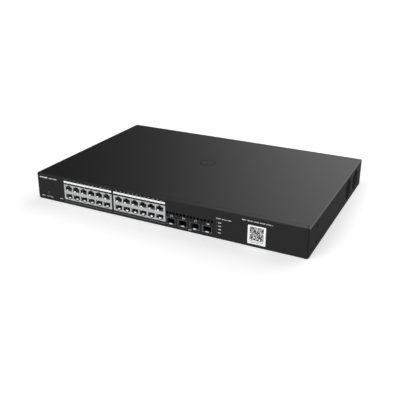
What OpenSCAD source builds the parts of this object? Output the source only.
// Rack-mount network switch, one rack unit high: twenty-four copper ports in two blocks,
// four small optical cages, an internal mains supply and two side fans.
// Millimetres. +X is to the right as seen from the front, the front faces -Y, +Z is up.
// The origin is the centre of the underside.

/* [Chassis] */
// Width over the side faces
body_w = 440; // [438:1:442]
// Depth from the front face to the rear wall
body_d = 292; // [290:1:320]
// Height: one rack unit less its working gap
body_h = 43.6; // [43.4:0.1:44]
// Thickness of the painted steel sheet
sheet = 1; // [0.9:0.05:1.1]
// Outside radius of the sheet bends
bend_r = 1.4; // [1.2:0.1:1.8]
// Depth of the front panel's top and bottom flanges
flange_d = 9; // [8:0.5:10]
// Open seam between neighbouring sheets
seam = 0.5; // [0.4:0.05:0.6]

/* [Copper ports] */
// Spacing of the port columns
port_pitch = 13.97; // [13.9:0.01:14.05]
// Width of a plug opening
plug_w = 11.8; // [11.6:0.1:12]
// Height of a plug opening without its latch notch
plug_h = 6.9; // [6.7:0.1:7.1]
// Centre of the left block of ports
left_block_x = -125.2; // [-126:0.1:-124.4]
// Centre of the right block of ports
right_block_x = -34.1; // [-34.2:0.05:-33.5]

/* [Optical cages] */
// Centre of the first cage
cage_x = 19; // [18.8:0.05:19.4]
// Spacing of the cages
cage_pitch = 19.05; // [18.8:0.05:19.2]

/* [Fans] */
// Side of the square fan frame
fan_size = 40; // [39.6:0.1:40]
// Depth of the fan frame
fan_depth = 20; // [15:1:25]
// Distance of the first fan from the front face
fan_back = 204.5; // [203:0.5:206]
// Distance between the two fans
fan_pitch = 45; // [44:0.5:46]
// Number of blades on a rotor
fan_blades = 7; // [5:2:9]

/* [Reset button] */
// Diameter of the button
button_d = 5.4; // [4.8:0.1:5.6]
// How far the crown of the button stands out of the panel
button_out = 1.2; // [1:0.1:1.4]

/* [Hidden] */
$fn = 48;

// Colours
paint = "#1d1d1f";
steel = "silver";
tin = "#c9ccd0";
gold = "#d8b24a";
dark_plastic = "#151515";
white_plastic = "#eeeeea";
clear_plastic = "#d5dcda";
board_green = "#1f5b3a";
aluminium = "#a9adb3";

// Fits
skin = 0.05;
slack = 0.1;
half_w = body_w / 2;
inner_top = body_h - sheet;
through = 3;

// Front panel and the seams round it
wall_half = half_w - sheet - seam;
wall_inset = 0.3;
wall_corner_r = 2.4;
floor_half = half_w - sheet - 0.25;
flange_half = half_w - 4.4;
side_start = 0.1;
side_corner_r = 2.2;
corner_start = sheet + seam;
top_start = flange_d + seam;
notch_x = 215;
notch_r = 0.9;
tongue_in = 5;
tongue_over = 4;

// Rear wall
wrap_d = 8.5;
wrap_top = body_h - bend_r - 0.6;
rear_lip = 8;

// Base flanges
flange_x = half_w - sheet - 0.2;
low_flange_h = 14;
tall_flange_end = 44;
tall_flange_top = body_h - bend_r - 0.6;

// Screws that hold the cover: distances back and height
cover_screw_back = [25.5, 145, 277];
cover_screw_z = 6;
csk_head_r = 2.6;
csk_shank_r = 1.3;
panel_screw_x = [-180, -60, 60, 180];
panel_screw_back = 6.5;

// Holes for the rack ears: distances back and heights
ear_back = 34.5;
ear_front = 11.3;
ear_low = 9.6;
ear_high = 33.7;
ear_hole_r = 2.5;
ear_places = [[ear_back, ear_low], [ear_back, ear_high], [ear_front, ear_low]];
nut_r = 3.6;
nut_h = 2.6;
nut_thread_r = 1.65;

// Foot recesses in the underside
foot_x = 195;
foot_back = [25, 267];
foot_r = 7;
foot_deep = 0.4;

// Vents
hex_r = 2.05;
hex_pitch = 4.15;
grille_r = 17.6;
grille_z = 22.4;
intake_back = [70, 180];
intake_half = 34;
intake_rows = 7;
front_vent_r = 2.15;
front_vent_x = 13.15;
front_vent_pitch = 5.39;
front_vents = 14;
front_vent_z = 23.65;

// Main board
board_lo = [-214, 3.5];
board_hi = [118, 158];
board_t = 1.6;
board_top = 6.4;
board_bottom = board_top - board_t;
standoff_r = 2.6;
standoff_bore_r = 1.3;
board_hole_r = 1.7;
board_screw_places = [
    [-208, 45], [-208, 150], [-75, 75], [-75, 150], [4, 50], [4, 150], [112, 40], [112, 150]
];

// Copper port blocks
port_columns = 6;
port_z = 20.15;
port_band = 5;
port_rise = port_band / 2;
block_w = port_columns * port_pitch + 3.98;
block_lo = 7.9;
block_hi = 32.4;
block_front = 0.15;
block_back = 31;
block_gap = 0.15;
shield_t = 0.3;
housing_base_front = 1.6;
notch_wide_w = 6.2;
notch_wide_h = 1.1;
notch_narrow_w = 3.4;
notch_narrow_h = 0.9;
plug_deep = 14;
finger_x = -3.3;
finger_w = 2.6;
rising_deep = 1.7;
rising_slope = 48;
hanging_deep = 1;
hanging_slope = 65;
spring_x = -1.3;
spring_w = 3.6;
spring_foot = 2.2;
spring_len = 1.95;
spring_slope = 52;
lead_in = 0.3;
lead_in_deep = 2.9;
contact_count = 8;
contact_pitch = 1.02;
contact_w = 0.4;
contact_t = 0.25;
contact_from = 3;
contact_len = 8;
contact_tilt = 13;

// Light strips over the port blocks
strip_lo = 35.1;
strip_hi = 38;
strip_w = 87.4;
strip_back = 5;
strip_out = 0.1;
light_x = 3.5;
light_w = 2;
light_h = 1.4;
light_drop = 35;
light_arm = 1.6;

// Optical cages
cage_count = 4;
cage_w = 14.1;
cage_h = 9.7;
cage_t = 0.3;
cage_front = 1.2;
cage_back = 48;
cage_open_w = 15.1;
cage_open_lo = 6.2;
cage_open_hi = 16.7;
collar_front = -1;
collar_gap = 0.1;
collar_t = 0.3;
collar_d = 2.6;
latch_front = -0.3;
latch_w = 4.6;
latch_d = 1.3;
latch_tilt = 56;
connector_w = 12.4;
connector_h = 6;
connector_d = 9;
connector_front = 36.5;

// Indicator lights and the button
status_x = 89.8;
status_top_z = 24.95;
status_pitch = 5.02;
status_lights = 4;
lens_r = 1.25;
lens_slack = 0.15;
lens_inset = 0.7;
system_x = -209.1;
system_z = 12.8;
button_x = -199.7;
button_z = 12.4;
button_hole_r = button_d / 2 + 0.4;
button_collar_r = button_d / 2 + 1.1;
button_crown = 1;
button_travel = 0.6;
button_end = 5;

// Labels
code_x = 148.8;
code_z = 18.3;
code_w = 25.7;
code_h = 27.3;
label_t = 0.08;
rating_x = 40;
rating_w = 70;
rating_h = 26;

// Fans
fan_x = half_w - sheet - 2.4;
fan_z = 22;
fan_bore_r = fan_size / 2 - 1;
fan_corner = 16;
fan_hole_r = 1.65;
fan_wall = 2;
fan_hub_r = 9.4;
fan_mount_r = 9.6;
fan_mount_t = 2.4;
fan_tip_gap = 0.7;
fan_shaft_r = 1;
fan_shaft_gap = 0.05;
blade_t = 1.1;
blade_tilt = 38;
bracket_lo = 183;
bracket_hi = 274;
bracket_top = 41.6;

// Power supply
power_lo = [-205, 168];
power_hi = [-52, 264];
power_bottom = 7;
power_t = 1.6;
power_top = power_bottom + power_t;
power_hole_in = 5;
inlet_x = -172;
inlet_z = 22;
inlet_flange = [50, 23];
inlet_flange_t = 3;
inlet_body = [27.4, 19.8];
inlet_behind = 19;
inlet_mouth = [24.2, 16.4];
inlet_mouth_deep = 16.5;
inlet_cut = 4;
inlet_screw_x = 20;
ground_x = -118;
ground_z = 22;
ground_r = 2;

function back(v) = v - body_d / 2;

// ---- drawing helpers ----
module block(lo, hi) {
    translate(lo) cube(hi - lo);
}

module prism_x(x0, x1) {
    translate([x0, 0, 0]) rotate([90, 0, 90]) linear_extrude(x1 - x0) children();
}

module prism_y(b0, b1) {
    translate([0, back(b1), 0]) rotate([90, 0, 0]) linear_extrude(b1 - b0) children();
}

module prism_z(z0, z1) {
    translate([0, 0, z0]) linear_extrude(z1 - z0) children();
}

module rect(c, size) {
    translate([c[0] - size[0] / 2, c[1] - size[1] / 2]) square(size);
}

module round_rect(c, size, r) {
    rect(c, [size[0] - 2 * r, size[1]]);
    rect(c, [size[0], size[1] - 2 * r]);
    for (sx = [-1, 1], sy = [-1, 1])
        translate([c[0] + sx * (size[0] / 2 - r), c[1] + sy * (size[1] / 2 - r)]) circle(r);
}

module tube_rect(c, size, r, t) {
    difference() {
        round_rect(c, size, r);
        round_rect(c, [size[0] - 2 * t, size[1] - 2 * t], r - t);
    }
}

// A cross-recess driver slot whose mouth is at z = 0 and which goes down
module driver_recess(r, deep) {
    for (a = [0, 90])
        rotate([0, 0, a]) translate([-r, -0.3, -deep]) cube([2 * r, 0.6, deep + 1]);
}

// Countersunk screw: mouth of the head at z = 0, shank going down
module csk_screw(len) {
    difference() {
        union() {
            translate([0, 0, -sheet]) cylinder(r1 = csk_shank_r, r2 = csk_head_r, h = sheet);
            translate([0, 0, -len]) cylinder(r = csk_shank_r, h = len - sheet / 2);
        }
        driver_recess(1.4, 0.6);
    }
}

module csk_hole(len) {
    translate([0, 0, -sheet - 0.01])
        cylinder(r1 = csk_shank_r + slack, r2 = csk_head_r + slack, h = sheet + 0.02);
    translate([0, 0, -len]) cylinder(r = csk_shank_r + slack, h = len);
}

// Pan-head screw: underside of the head at z = 0, shank going down
module pan_screw(head_r, head_h, r, len) {
    difference() {
        union() {
            cylinder(r = head_r, h = head_h);
            translate([0, 0, -len]) cylinder(r = r, h = len + head_h / 2);
        }
        translate([0, 0, head_h]) driver_recess(head_r * 0.6, head_h * 0.55);
    }
}

module hex_disc(r) {
    n = ceil(r / hex_pitch) + 1;
    for (i = [-n : n], j = [-n : n]) {
        u = hex_pitch * (i + (j % 2 == 0 ? 0 : 0.5));
        v = hex_pitch * j * sqrt(3) / 2;
        if (norm([u, v]) + hex_r <= r) translate([u, v]) rotate(30) circle(hex_r, $fn = 6);
    }
}

module hex_band(half_len, rows) {
    n = floor((half_len - hex_r) / hex_pitch);
    for (i = [-n : n], j = [0 : rows - 1]) {
        u = hex_pitch * (i + (j % 2 == 0 ? 0 : 0.5));
        v = hex_pitch * (j - (rows - 1) / 2) * sqrt(3) / 2;
        translate([u, v]) rotate(30) circle(hex_r, $fn = 6);
    }
}

// A round wire through a list of points, as one closed skin
function unit(v) = v / norm(v);
function wire_dir(p, i) =
    i == 0 ? unit(p[1] - p[0]) :
    i == len(p) - 1 ? unit(p[i] - p[i - 1]) :
    unit(unit(p[i + 1] - p[i]) + unit(p[i] - p[i - 1]));
function wire_side(d) = unit(cross(d, abs(d[2]) > 0.9 ? [1, 0, 0] : [0, 0, 1]));
function turned(side, d) = unit(side - (side * d) * d);
function wire_sides(p, i) =
    i == 0 ? [wire_side(wire_dir(p, 0))] :
    let (before = wire_sides(p, i - 1))
    concat(before, [turned(before[i - 1], wire_dir(p, i))]);

module wire(p, r) {
    k = 8;
    n = len(p);
    sides = wire_sides(p, n - 1);
    skin_points = [
        for (i = [0 : n - 1], j = [0 : k - 1])
            let (d = wire_dir(p, i), s = sides[i], t = cross(d, s), a = 360 * j / k)
            p[i] + r * (cos(a) * s + sin(a) * t)
    ];
    walls = [
        for (i = [0 : n - 2], j = [0 : k - 1])
            [i * k + j, (i + 1) * k + j, (i + 1) * k + (j + 1) % k, i * k + (j + 1) % k]
    ];
    ends = [[for (j = [0 : k - 1]) j], [for (j = [k - 1 : -1 : 0]) (n - 1) * k + j]];
    polyhedron(skin_points, concat(walls, ends));
}

// ---- casing ----
module sfp_opening(i) {
    mid_z = (cage_open_lo + cage_open_hi) / 2;
    round_rect([cage_x + i * cage_pitch, mid_z], [cage_open_w, cage_open_hi - cage_open_lo], 0.6);
}

// Round reliefs where the seam behind the flange turns forwards
module corner_reliefs() {
    for (s = [-1, 1])
        translate([s * (flange_half + seam / 2), back(flange_d + seam / 2), inner_top - 1])
            cylinder(r = notch_r, h = 3);
}

module front_openings() {
    for (x = [left_block_x, right_block_x]) {
        rect([x, (block_lo + block_hi) / 2],
             [block_w + 2 * block_gap, block_hi - block_lo + 2 * block_gap]);
        rect([x, (strip_lo + strip_hi) / 2],
             [strip_w + 2 * slack, strip_hi - strip_lo + 2 * slack]);
    }
    for (i = [0 : cage_count - 1]) sfp_opening(i);
    for (i = [0 : front_vents - 1])
        translate([front_vent_x + i * front_vent_pitch, front_vent_z])
            rotate(30) circle(front_vent_r, $fn = 6);
    for (i = [0 : status_lights - 1])
        translate([status_x, status_top_z - i * status_pitch]) circle(lens_r + lens_slack);
    translate([system_x, system_z]) circle(lens_r + lens_slack);
    translate([button_x, button_z]) circle(button_hole_r);
}

// Section of the front panel across its two bends, as (distance from the middle plane, height)
module panel_section() {
    intersection() {
        tube_rect([back(flange_d), body_h / 2], [2 * flange_d, body_h], bend_r, sheet);
        translate([back(0), 0]) square([flange_d, body_h]);
    }
}

// Flat ends of the front wall, which cover the cut edges of the sides
module wall_ends() {
    prism_y(0, sheet)
        difference() {
            round_rect([0, body_h / 2], [2 * wall_half, body_h - 2 * wall_inset], wall_corner_r);
            rect([0, body_h / 2], [2 * flange_half - 1, body_h]);
        }
}

module front_panel() {
    color(paint)
    difference() {
        union() {
            prism_x(-flange_half, flange_half) panel_section();
            prism_x(-floor_half, floor_half)
                intersection() {
                    panel_section();
                    translate([back(0), 0]) square([flange_d, 2 * bend_r]);
                }
            wall_ends();
        }
        prism_y(-1, through) front_openings();
        for (x = panel_screw_x)
            translate([x, back(panel_screw_back), 0]) rotate([180, 0, 0]) csk_hole(through);
        corner_reliefs();
    }
}

module base_sheets() {
    tongue_z = sheet + slack;
    block([-flange_x, back(top_start), 0], [flange_x, back(body_d), sheet]);
    block([-notch_x + 1, back(tongue_in), tongue_z],
          [notch_x - 1, back(top_start + tongue_over), tongue_z + sheet]);
    block([-notch_x + 1, back(top_start), 0],
          [notch_x - 1, back(top_start + tongue_over), tongue_z + sheet]);
    prism_z(0, wrap_top)
        intersection() {
            tube_rect([0, back(body_d - 20)], [body_w, 40], bend_r, sheet);
            translate([-half_w, back(body_d - wrap_d)]) square([body_w, wrap_d]);
        }
    block([1.2 - flange_x, back(body_d - sheet), wrap_top - 1],
          [flange_x - 1.2, back(body_d), inner_top - slack]);
    block([-200, back(body_d - rear_lip), inner_top - slack - sheet],
          [200, back(body_d), inner_top - slack]);
    for (s = [0, 1]) mirror([s, 0, 0]) {
        block([flange_x - sheet, back(top_start), 0],
              [flange_x, back(body_d - wrap_d + 1), low_flange_h]);
        block([flange_x - sheet, back(5), 2 * sheet + 0.4],
              [flange_x, back(tall_flange_end), tall_flange_top]);
    }
}

module chassis_base() {
    color(paint)
    difference() {
        base_sheets();
        prism_y(body_d - through, body_d + 1) {
            rect([inlet_x, inlet_z], [inlet_body[0] + 0.4, inlet_body[1] + 0.4]);
            for (s = [-1, 1]) translate([inlet_x + s * inlet_screw_x, inlet_z]) circle(1.6);
            translate([ground_x, ground_z]) circle(ground_r + skin);
        }
        for (x = panel_screw_x)
            translate([x, back(panel_screw_back), 0]) cylinder(r = csk_shank_r + slack, h = through);
        for (s = [0, 1]) mirror([s, 0, 0]) {
            for (b = cover_screw_back)
                translate([half_w - 4, back(b), cover_screw_z]) rotate([0, 90, 0])
                    cylinder(r = csk_shank_r + slack, h = 3.5);
            for (p = ear_places)
                translate([half_w - 4, back(p[0]), p[1]]) rotate([0, 90, 0])
                    cylinder(r = ear_hole_r, h = 3.5);
        }
        for (x = [-foot_x, foot_x], b = foot_back)
            translate([x, back(b), -1]) cylinder(r = foot_r, h = 1 + foot_deep);
    }
}

module cover_sheets() {
    tongue_z = inner_top - slack - sheet;
    difference() {
        prism_y(side_start, body_d)
            intersection() {
                tube_rect([0, 0], [body_w, 2 * body_h], bend_r, sheet);
                translate([-half_w, seam]) square([body_w, body_h]);
            }
        block([-flange_half - seam, back(0), inner_top - 1],
              [flange_half + seam, back(top_start), body_h + 1]);
        block([sheet - half_w, back(0), inner_top - 1],
              [half_w - sheet, back(corner_start), body_h + 1]);
        translate([0, back(side_start), seam]) prism_x(-half_w - 1, half_w + 1)
            difference() {
                square(side_corner_r);
                translate([side_corner_r, side_corner_r]) circle(side_corner_r);
            }
        for (s = [0, 1]) mirror([s, 0, 0])
            block([half_w - 2 * sheet, back(body_d - wrap_d - seam), -1],
                  [half_w + 1, back(body_d + 1), wrap_top + seam]);
    }
    block([-notch_x + 1, back(tongue_in), tongue_z],
          [notch_x - 1, back(top_start + tongue_over), tongue_z + sheet]);
    block([-notch_x + 1, back(top_start), tongue_z],
          [notch_x - 1, back(top_start + tongue_over), body_h - sheet / 2]);
}

module side_holes() {
    for (p = ear_places)
        translate([half_w - 3, back(p[0]), p[1]]) rotate([0, 90, 0])
            cylinder(r = ear_hole_r, h = 4);
    for (b = cover_screw_back)
        translate([half_w, back(b), cover_screw_z]) rotate([0, 90, 0]) csk_hole(1.6);
}

module top_cover() {
    color(paint)
    difference() {
        cover_sheets();
        corner_reliefs();
        side_holes();
        mirror([1, 0, 0]) side_holes();
        for (i = [0, 1])
            translate([0, back(fan_back + i * fan_pitch), grille_z])
                prism_x(half_w - 2, half_w + 1) hex_disc(grille_r);
        for (b = intake_back)
            translate([0, back(b), grille_z]) prism_x(-half_w - 1, -half_w + 2)
                hex_band(intake_half, intake_rows);
    }
}

module cover_screws() {
    color(steel)
    for (s = [0, 1], b = cover_screw_back)
        mirror([s, 0, 0]) translate([half_w, back(b), cover_screw_z])
            rotate([0, 90, 0]) csk_screw(4);
}

module panel_screws() {
    color(steel)
    for (x = panel_screw_x)
        translate([x, back(panel_screw_back), 0]) rotate([180, 0, 0]) csk_screw(3.4);
}

module ear_nuts() {
    color(steel)
    for (s = [0, 1], p = ear_places)
        mirror([s, 0, 0]) translate([flange_x - sheet - nut_h, back(p[0]), p[1]])
            rotate([0, 90, 0]) difference() {
                cylinder(r = nut_r, h = nut_h);
                translate([0, 0, -1]) cylinder(r = nut_thread_r, h = nut_h + 2);
            }
}

// ---- main board ----
module mainboard() {
    color(board_green)
    difference() {
        block([board_lo[0], back(board_lo[1]), board_bottom],
              [board_hi[0], back(board_hi[1]), board_top]);
        for (p = board_screw_places)
            translate([p[0], back(p[1]), board_bottom - 1]) cylinder(r = board_hole_r, h = 4);
    }
}

module standoff(h) {
    difference() {
        cylinder(r = standoff_r, h = h);
        translate([0, 0, 0.5]) cylinder(r = standoff_bore_r, h = h);
    }
}

module board_standoffs() {
    color(steel)
    for (p = board_screw_places)
        translate([p[0], back(p[1]), sheet]) standoff(board_bottom - sheet);
}

module board_screws() {
    color(steel)
    for (p = board_screw_places)
        translate([p[0], back(p[1]), board_top])
            pan_screw(2.7, 1.8, standoff_bore_r - skin, board_t + 2.4);
}

module chip(x, b, w, d, h) {
    block([x - w / 2, back(b - d / 2), board_top], [x + w / 2, back(b + d / 2), board_top + h]);
}

module switch_chip() {
    color(dark_plastic) chip(-30, 108, 31, 31, 2.4);
}

module switch_heatsink() {
    size = 50;
    fins = 11;
    fin_t = 1.4;
    foot = board_top + 2.4;
    color(aluminium) {
        block([-30 - size / 2, back(108 - size / 2), foot],
              [-30 + size / 2, back(108 + size / 2), foot + 4]);
        for (i = [0 : fins - 1])
            translate([-30 - size / 2 + i * (size - fin_t) / (fins - 1), back(108 - size / 2), foot + 3.5])
                cube([fin_t, size, 18]);
    }
}

module port_chips() {
    color(dark_plastic)
    for (i = [0 : 2]) chip(-160 + i * 44, 58, 14, 14, 1.2);
}

module power_port_chips() {
    color(dark_plastic)
    for (i = [0 : 2]) chip(-160 + i * 28, 100, 9, 9, 1);
}

module memory_chips() {
    color(dark_plastic)
    for (i = [0, 1]) chip(32, 90 + i * 22, 11, 9, 1.1);
}

module can(x, b, z, r, h) {
    translate([x, back(b), z]) {
        cylinder(r = r, h = h - 0.6);
        translate([0, 0, h - 0.7]) cylinder(r1 = r, r2 = r - 0.6, h = 0.7);
    }
}

module board_capacitors() {
    color("#3a3f66")
    for (i = [0 : 5]) can(-185 + i * 15, 138, board_top, 5, 13);
}

module board_headers() {
    color(white_plastic) {
        chip(-60, 140, 22, 8, 9);
        for (i = [0, 1]) chip(84 + i * 14, 146, 8, 6, 6);
    }
}

// ---- copper ports ----
function port_column_x(i) = (i - (port_columns - 1) / 2) * port_pitch;

// Outline of one plug opening with its latch notch pointing up, bottom edge at z = 0
module plug_outline(grow) {
    rect([0, plug_h / 2], [plug_w + 2 * grow, plug_h + 2 * grow]);
    rect([0, plug_h + notch_wide_h / 2], [notch_wide_w + 2 * grow, notch_wide_h + 2 * grow]);
    rect([0, plug_h + notch_wide_h + notch_narrow_h / 2],
         [notch_narrow_w + 2 * grow, notch_narrow_h + 2 * grow]);
}

// Every plug opening of a block; the lower row is the upper one turned over
module all_plugs(grow) {
    for (i = [0 : port_columns - 1], s = [0, 1])
        translate([port_column_x(i), port_z]) mirror([0, s])
            translate([0, port_rise]) plug_outline(grow);
}

// A finger bent inwards from the edge of an opening; side is 1 where it rises, -1 where it hangs
module finger(z, deep, slope, side) {
    translate([finger_x, back(block_front + shield_t / 2), z - side * shield_t / 2])
        rotate([side * slope, 0, 0])
            translate([-finger_w / 2, 0, -shield_t / 2]) cube([finger_w, deep, shield_t]);
}

// A spring from the left step of the latch notch: a flat foot and a blade rising behind it
module latch_spring() {
    foot_z = port_z - port_rise - plug_h - notch_wide_h - shield_t + skin;
    translate([spring_x - spring_w / 2, back(block_front), foot_z]) {
        cube([spring_w, spring_foot, shield_t]);
        translate([0, spring_foot, 0]) rotate([spring_slope, 0, 0])
            cube([spring_w, spring_len, shield_t]);
    }
}

module port_shield(x) {
    mid_z = (block_lo + block_hi) / 2;
    high = block_hi - block_lo;
    translate([x, 0, 0]) {
        difference() {
            prism_y(block_front, block_back) rect([0, mid_z], [block_w, high]);
            translate([0, 0, -1]) prism_y(block_front + shield_t, block_back - shield_t)
                rect([0, mid_z], [block_w - 2 * shield_t, high + 2 - 2 * shield_t]);
            prism_y(0, block_front + 1) all_plugs(0);
        }
        for (i = [0 : port_columns - 1]) translate([port_column_x(i), 0, 0]) {
            finger(port_z + port_rise, rising_deep, rising_slope, 1);
            finger(port_z - port_rise, hanging_deep, hanging_slope, -1);
            latch_spring();
        }
    }
}

module port_housing(x) {
    grow = shield_t + skin;
    mid_z = (block_lo + block_hi) / 2;
    high = block_hi - block_lo;
    translate([x, 0, 0])
    difference() {
        union() {
            prism_y(block_front + grow, block_back - grow)
                rect([0, mid_z - grow / 2], [block_w - 2 * grow, high - grow]);
            prism_y(housing_base_front, block_back - grow)
                rect([0, (board_top + block_lo) / 2 + 0.1],
                     [block_w - 2 * grow, block_lo - board_top + 0.2]);
        }
        prism_y(0, plug_deep) all_plugs(slack / 2);
        prism_y(0, lead_in_deep) all_plugs(lead_in);
    }
}

module port_contacts(x) {
    rise = 0.25;
    for (i = [0 : port_columns - 1], s = [0, 1], c = [0 : contact_count - 1])
        translate([x + port_column_x(i) + (c - (contact_count - 1) / 2) * contact_pitch - contact_w / 2,
                   back(contact_from), port_z])
            mirror([0, 0, s]) translate([0, 0, port_rise + rise]) rotate([contact_tilt, 0, 0])
                cube([contact_w, contact_len, contact_t]);
}

module port_shield_left() {
    color(tin) port_shield(left_block_x);
}

module port_shield_right() {
    color(tin) port_shield(right_block_x);
}

module port_housing_left() {
    color(dark_plastic) port_housing(left_block_x);
}

module port_housing_right() {
    color(dark_plastic) port_housing(right_block_x);
}

module port_contacts_left() {
    color(gold) port_contacts(left_block_x);
}

module port_contacts_right() {
    color(gold) port_contacts(right_block_x);
}

// ---- light strips and their clear guides ----
module light_windows(grow) {
    for (i = [0 : port_columns - 1], s = [-1, 1])
        rect([port_column_x(i) + s * light_x, (strip_lo + strip_hi) / 2],
             [light_w + 2 * grow, light_h + 2 * grow]);
}

module light_strip(x) {
    translate([x, 0, 0])
    difference() {
        prism_y(-strip_out, strip_back)
            rect([0, (strip_lo + strip_hi) / 2], [strip_w, strip_hi - strip_lo]);
        prism_y(-1, strip_back + 1) light_windows(skin);
    }
}

module light_pipes(x) {
    mid_z = (strip_lo + strip_hi) / 2;
    translate([x, 0, 0]) {
        prism_y(0, light_drop) light_windows(0);
        for (i = [0 : port_columns - 1], s = [-1, 1])
            translate([port_column_x(i) + s * light_x - light_w / 2, back(light_drop - light_arm),
                       board_top + 1])
                cube([light_w, light_arm, mid_z - board_top - 1]);
        translate([-strip_w / 2, back(strip_back + 3), mid_z - light_h / 2])
            cube([strip_w, 2, light_h]);
    }
}

module light_strip_left() {
    color(white_plastic) light_strip(left_block_x);
}

module light_strip_right() {
    color(white_plastic) light_strip(right_block_x);
}

module light_pipes_left() {
    color(clear_plastic) light_pipes(left_block_x);
}

module light_pipes_right() {
    color(clear_plastic) light_pipes(right_block_x);
}

// ---- optical cages ----
module sfp_cage(i) {
    mid_z = (cage_open_lo + cage_open_hi) / 2;
    box_z = board_top + cage_h / 2;
    collar = [cage_open_w - 2 * collar_gap, cage_open_hi - cage_open_lo - 2 * collar_gap];
    translate([cage_x + i * cage_pitch, 0, 0]) {
        difference() {
            union() {
                prism_y(cage_front, cage_back) rect([0, box_z], [cage_w, cage_h]);
                prism_y(collar_front, collar_d) tube_rect([0, mid_z], collar, 0.6, collar_t);
                prism_y(collar_d - collar_t, collar_d) round_rect([0, mid_z], collar, 0.6);
            }
            prism_y(-1, cage_back - cage_t)
                rect([0, box_z], [cage_w - 2 * cage_t, cage_h - 2 * cage_t]);
            block([-cage_w / 2 + 0.8, back(connector_front - 1), board_top - 1],
                  [cage_w / 2 - 0.8, back(cage_back - 1), board_top + 1]);
        }
        translate([-latch_w / 2, back(latch_front), cage_open_lo + collar_gap + collar_t / 2])
            rotate([latch_tilt, 0, 0]) cube([latch_w, latch_d, cage_t]);
    }
}

module sfp_connector(i) {
    translate([cage_x + i * cage_pitch, 0, 0])
    difference() {
        block([-connector_w / 2, back(connector_front), board_top],
              [connector_w / 2, back(connector_front + connector_d), board_top + connector_h]);
        block([-connector_w / 2 + 1, back(connector_front - 1), board_top + 2.4],
              [connector_w / 2 - 1, back(connector_front + 6), board_top + 4]);
    }
}

module sfp_cage_1() {
    color(steel) sfp_cage(0);
}

module sfp_cage_2() {
    color(steel) sfp_cage(1);
}

module sfp_cage_3() {
    color(steel) sfp_cage(2);
}

module sfp_cage_4() {
    color(steel) sfp_cage(3);
}

module sfp_connector_1() {
    color(dark_plastic) sfp_connector(0);
}

module sfp_connector_2() {
    color(dark_plastic) sfp_connector(1);
}

module sfp_connector_3() {
    color(dark_plastic) sfp_connector(2);
}

module sfp_connector_4() {
    color(dark_plastic) sfp_connector(3);
}

// ---- lights, button and labels ----
module lens(x, z, to) {
    translate([x, back(to), z]) rotate([90, 0, 0]) cylinder(r = lens_r, h = to - lens_inset);
}

module status_light_pipe() {
    foot = status_top_z - (status_lights - 1) * status_pitch;
    color(clear_plastic) {
        for (i = [0 : status_lights - 1]) lens(status_x, status_top_z - i * status_pitch, 4);
        block([status_x - 1.6, back(3), board_top], [status_x + 1.6, back(7), status_top_z + 2]);
        block([status_x - 1.6, back(3), foot - 2], [status_x + 1.6, back(7), foot + 2]);
    }
}

module system_light_pipe() {
    color(clear_plastic) {
        lens(system_x, system_z, 4.5);
        block([system_x - 1.6, back(4), board_top], [system_x + 1.6, back(8), system_z + 1.6]);
    }
}

// A domed cap, its collar behind the panel and the stem that presses the switch
module reset_button() {
    cap_r = button_d / 2;
    dome_r = (cap_r * cap_r + button_crown * button_crown) / (2 * button_crown);
    color("#303032")
    translate([button_x, back(0), button_z]) rotate([-90, 0, 0]) {
        rotate_extrude()
            intersection() {
                translate([0, dome_r - button_out]) circle(dome_r, $fn = 128);
                translate([0, -button_out]) square([cap_r, button_out + 1.9]);
            }
        translate([0, 0, 1.6]) cylinder(r = button_collar_r, h = 0.8);
        translate([0, 0, 2]) cylinder(r = 1.1, h = button_end - 2);
    }
}

module reset_switch() {
    front = button_end + button_travel + slack;
    color(dark_plastic)
    block([button_x - 3.1, back(front), board_top],
          [button_x + 3.1, back(front + 4.4), button_z + 3.1]);
}

module code_label() {
    color("white")
    prism_y(-label_t, 0)
        round_rect([code_x, code_z], [code_w, code_h], 0.8);
}

module rating_label() {
    color("#d9dadc")
    prism_y(body_d, body_d + label_t)
        round_rect([rating_x, ground_z], [rating_w, rating_h], 1.2);
}

// ---- fans; each is drawn round an axis along X, its outlet face at x = 0 ----
module fan_section() {
    difference() {
        round_rect([0, 0], [fan_size, fan_size], 3);
        circle(fan_bore_r, $fn = 96);
        for (sx = [-1, 1], sy = [-1, 1])
            translate([sx * fan_corner, sy * fan_corner]) circle(fan_hole_r);
    }
}

module fan_frame_shape() {
    strut_w = 2;
    difference() {
        union() {
            prism_x(-fan_depth, 0) fan_section();
            translate([-fan_depth, 0, 0]) rotate([0, 90, 0])
                cylinder(r = fan_mount_r, h = fan_mount_t);
            for (a = [0 : 90 : 270])
                rotate([a + 45, 0, 0])
                    translate([-fan_depth, fan_mount_r - 1, -strut_w / 2])
                        cube([fan_mount_t, fan_bore_r - fan_mount_r + 1.5, strut_w]);
        }
        for (a = [0 : 90 : 270])
            rotate([a, 0, 0])
                translate([-fan_depth + 3.2, fan_corner - 3.2, fan_corner - 3.2])
                    cube([fan_depth - 6.4, fan_size, fan_size]);
        translate([-fan_depth - 1, 0, 0]) rotate([0, 90, 0])
            cylinder(r = fan_shaft_r + fan_shaft_gap, h = fan_mount_t + 2);
    }
}

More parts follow.
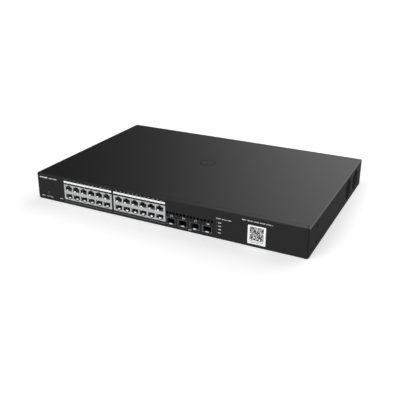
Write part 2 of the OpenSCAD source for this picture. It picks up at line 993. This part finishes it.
module fan_rotor_shape() {
    hub_from = -fan_depth + fan_mount_t + 0.5;
    hub_to = -2;
    tip_r = fan_bore_r - fan_tip_gap;
    rotate([0, 90, 0]) {
        translate([0, 0, hub_from]) cylinder(r = fan_hub_r, h = hub_to - hub_from);
        translate([0, 0, -fan_depth + 0.4]) cylinder(r = fan_shaft_r, h = fan_depth - 4);
    }
    intersection() {
        translate([hub_from, 0, 0]) rotate([0, 90, 0]) difference() {
            cylinder(r = tip_r, h = hub_to - hub_from, $fn = 96);
            translate([0, 0, -1]) cylinder(r = fan_hub_r - 1, h = fan_depth);
        }
        for (k = [0 : fan_blades - 1])
            rotate([k * 360 / fan_blades, 0, 0])
                translate([(hub_from + hub_to) / 2, fan_hub_r - 1.5, 0])
                    rotate([0, blade_tilt, 0])
                        translate([-fan_depth, 0, -blade_t / 2])
                            cube([2 * fan_depth, tip_r, blade_t]);
    }
}

module at_fan(i) {
    translate([fan_x, back(fan_back + i * fan_pitch), fan_z]) children();
}

module fan_1_frame() {
    color(dark_plastic) at_fan(0) fan_frame_shape();
}

module fan_2_frame() {
    color(dark_plastic) at_fan(1) fan_frame_shape();
}

module fan_1_rotor() {
    color("#26262a") at_fan(0) fan_rotor_shape();
}

module fan_2_rotor() {
    color("#26262a") at_fan(1) fan_rotor_shape();
}

module fan_bracket() {
    color(steel)
    difference() {
        union() {
            block([fan_x, back(bracket_lo), sheet], [fan_x + sheet, back(bracket_hi), bracket_top]);
            block([fan_x - 16, back(bracket_lo), sheet], [fan_x + sheet, back(bracket_hi), 1.9]);
        }
        for (i = [0, 1])
            at_fan(i) {
                translate([-1, 0, 0]) rotate([0, 90, 0]) cylinder(r = fan_bore_r, h = 4, $fn = 96);
                for (sy = [-1, 1], sz = [-1, 1])
                    translate([-1, sy * fan_corner, sz * fan_corner]) rotate([0, 90, 0])
                        cylinder(r = fan_hole_r, h = 4);
            }
    }
}

module fan_screws() {
    color(steel)
    for (i = [0, 1])
        at_fan(i)
            for (sy = [-1, 1], sz = [-1, 1])
                translate([-fan_depth, sy * fan_corner, sz * fan_corner]) rotate([0, -90, 0])
                    pan_screw(2.6, 1.8, fan_hole_r - slack, fan_depth + sheet + 0.1);
}

module fan_leads() {
    color("#8c1f1f")
    for (i = [0, 1], k = [-1 : 1])
        wire([
            [fan_x - fan_depth, back(fan_back + 12 + i * fan_pitch), 8 + 1.5 * k],
            [fan_x - fan_depth - 6, back(fan_back + 12 + i * fan_pitch), 8 + 1.5 * k],
            [152 - 14 * i, back(185), 8 + 1.5 * k],
            [114 - 14 * i, back(168), 9 + 1.5 * k],
            [98 - 14 * i + 1.6 * k, back(160), 13 + 1.5 * k],
            [98 - 14 * i + 1.6 * k, back(146), 15.5],
            [98 - 14 * i + 1.6 * k, back(146), board_top + 6]
        ], 0.6);
}

// ---- power supply ----
function power_corners() = [
    for (x = [power_lo[0] + power_hole_in, power_hi[0] - power_hole_in],
         b = [power_lo[1] + power_hole_in, power_hi[1] - power_hole_in]) [x, b]
];

module power_board() {
    color("#7c5a2a")
    difference() {
        block([power_lo[0], back(power_lo[1]), power_bottom],
              [power_hi[0], back(power_hi[1]), power_top]);
        for (p = power_corners())
            translate([p[0], back(p[1]), power_bottom - 1]) cylinder(r = board_hole_r, h = 4);
    }
}

module power_standoffs() {
    color(steel)
    for (p = power_corners()) translate([p[0], back(p[1]), sheet]) standoff(power_bottom - sheet);
}

module power_screws() {
    color(steel)
    for (p = power_corners())
        translate([p[0], back(p[1]), power_top])
            pan_screw(2.7, 1.8, standoff_bore_r - skin, power_t + 3.5);
}

module power_insulator() {
    color("#e8e4d8")
    difference() {
        block([power_lo[0] - 3, back(power_lo[1] - 3), sheet],
              [power_hi[0] + 3, back(power_hi[1] + 3), sheet + 0.4]);
        for (p = power_corners())
            translate([p[0], back(p[1]), 0]) cylinder(r = standoff_r + 0.5, h = 3);
    }
}

module power_transformer() {
    color("#c9a227")
    translate([-105, back(222), power_top]) {
        translate([-18, -16, 0]) cube([36, 32, 5]);
        translate([-14, -12, 4.5]) cube([28, 24, 16]);
        difference() {
            translate([-18, -9, 4.5]) cube([36, 18, 22]);
            translate([-14.5, -12.5, 3]) cube([29, 25, 18]);
        }
    }
}

module power_choke() {
    color("#b5622b")
    translate([-187, back(247), power_top + 5])
        rotate_extrude() translate([8, 0]) circle(5 - 0.02);
}

module power_capacitors() {
    color("#20242c") {
        for (i = [0, 1]) can(-170 + i * 27, 205, power_top, 12.5, 31);
        for (i = [0 : 2]) can(-72, 205 + i * 14, power_top, 5, 20);
    }
}

module power_heatsinks() {
    color(aluminium)
    for (b = [182, 252])
        translate([-128, back(b), power_top]) {
            cube([58, 2.5, 27]);
            for (i = [0 : 7]) translate([i * 8, 2, 5]) cube([1.6, 6, 22]);
        }
}

module mains_leads() {
    color("#6b4423")
    for (s = [-1, 1])
        wire([
            [inlet_x + s * 7, back(body_d - sheet - inlet_behind), inlet_z - 3],
            [inlet_x + s * 7, back(body_d - sheet - inlet_behind - 3), inlet_z - 3],
            [inlet_x + s * 5, back(body_d - sheet - inlet_behind - 7), inlet_z - 5],
            [inlet_x + s * 3, back(259), inlet_z - 9],
            [inlet_x + s * 3, back(259), power_top]
        ], 1);
}

module supply_harness() {
    color("#1b1b1b")
    for (k = [0 : 3])
        wire([
            [-80 + 4.6 * k, back(176), power_top],
            [-80 + 4.6 * k, back(176), power_top + 5],
            [-78 + 4.5 * k, back(171), power_top + 11],
            [-72 + 4.2 * k, back(160), 21],
            [-66 + 4 * k, back(146), 21.5],
            [-66 + 4 * k, back(140), 19],
            [-66 + 4 * k, back(140), board_top + 9]
        ], 1);
}

// Outline of the appliance inlet's mouth: a rectangle with two cut corners at the top
module inlet_outline(size, cut) {
    w = size[0] / 2;
    h = size[1] / 2;
    polygon([[-w, -h], [w, -h], [w, h - cut], [w - cut, h], [-w + cut, h], [-w, h - cut]]);
}

module mains_inlet() {
    pin_w = 4;
    pin_t = 2;
    pin_x = 7;
    pin_z = -2;
    face = body_d + inlet_flange_t;
    color(dark_plastic)
    translate([inlet_x, 0, inlet_z]) {
        difference() {
            union() {
                prism_y(body_d, face)
                    round_rect([0, 0], inlet_flange, 4);
                prism_y(body_d - sheet - inlet_behind, body_d + 1) rect([0, 0], inlet_body);
            }
            prism_y(face - inlet_mouth_deep, face + 1) inlet_outline(inlet_mouth, inlet_cut);
            for (s = [-1, 1])
                translate([s * inlet_screw_x, back(face + 1), 0]) rotate([90, 0, 0])
                    cylinder(r = 1.7, h = 6);
        }
        for (p = [[-pin_x, pin_z], [pin_x, pin_z], [0, pin_z + 4]])
            prism_y(face - inlet_mouth_deep - 0.5, face - 2) rect(p, [pin_t, pin_w]);
    }
}

module inlet_screws() {
    color(steel)
    for (s = [-1, 1])
        translate([inlet_x + s * inlet_screw_x, back(body_d + inlet_flange_t), inlet_z])
            rotate([-90, 0, 0]) pan_screw(2.8, 1.8, 1.5, 8);
}

module ground_screw() {
    color(steel)
    translate([ground_x, back(body_d), ground_z]) rotate([-90, 0, 0]) {
        difference() {
            cylinder(r = 4.5, h = 0.8);
            translate([0, 0, -1]) cylinder(r = 1, h = 3);
        }
        translate([0, 0, 0.8]) pan_screw(3.6, 2.4, ground_r, 8);
    }
}

front_panel();
chassis_base();
top_cover();
cover_screws();
panel_screws();
ear_nuts();
mainboard();
board_standoffs();
board_screws();
switch_chip();
switch_heatsink();
port_chips();
power_port_chips();
memory_chips();
board_capacitors();
board_headers();
port_shield_left();
port_housing_left();
port_contacts_left();
light_strip_left();
light_pipes_left();
port_shield_right();
port_housing_right();
port_contacts_right();
light_strip_right();
light_pipes_right();
sfp_cage_1();
sfp_cage_2();
sfp_cage_3();
sfp_cage_4();
sfp_connector_1();
sfp_connector_2();
sfp_connector_3();
sfp_connector_4();
status_light_pipe();
system_light_pipe();
reset_button();
reset_switch();
code_label();
rating_label();
fan_bracket();
fan_1_frame();
fan_1_rotor();
fan_2_frame();
fan_2_rotor();
fan_screws();
fan_leads();
power_board();
power_standoffs();
power_screws();
power_insulator();
power_transformer();
power_choke();
power_capacitors();
power_heatsinks();
mains_leads();
supply_harness();
mains_inlet();
inlet_screws();
ground_screw();
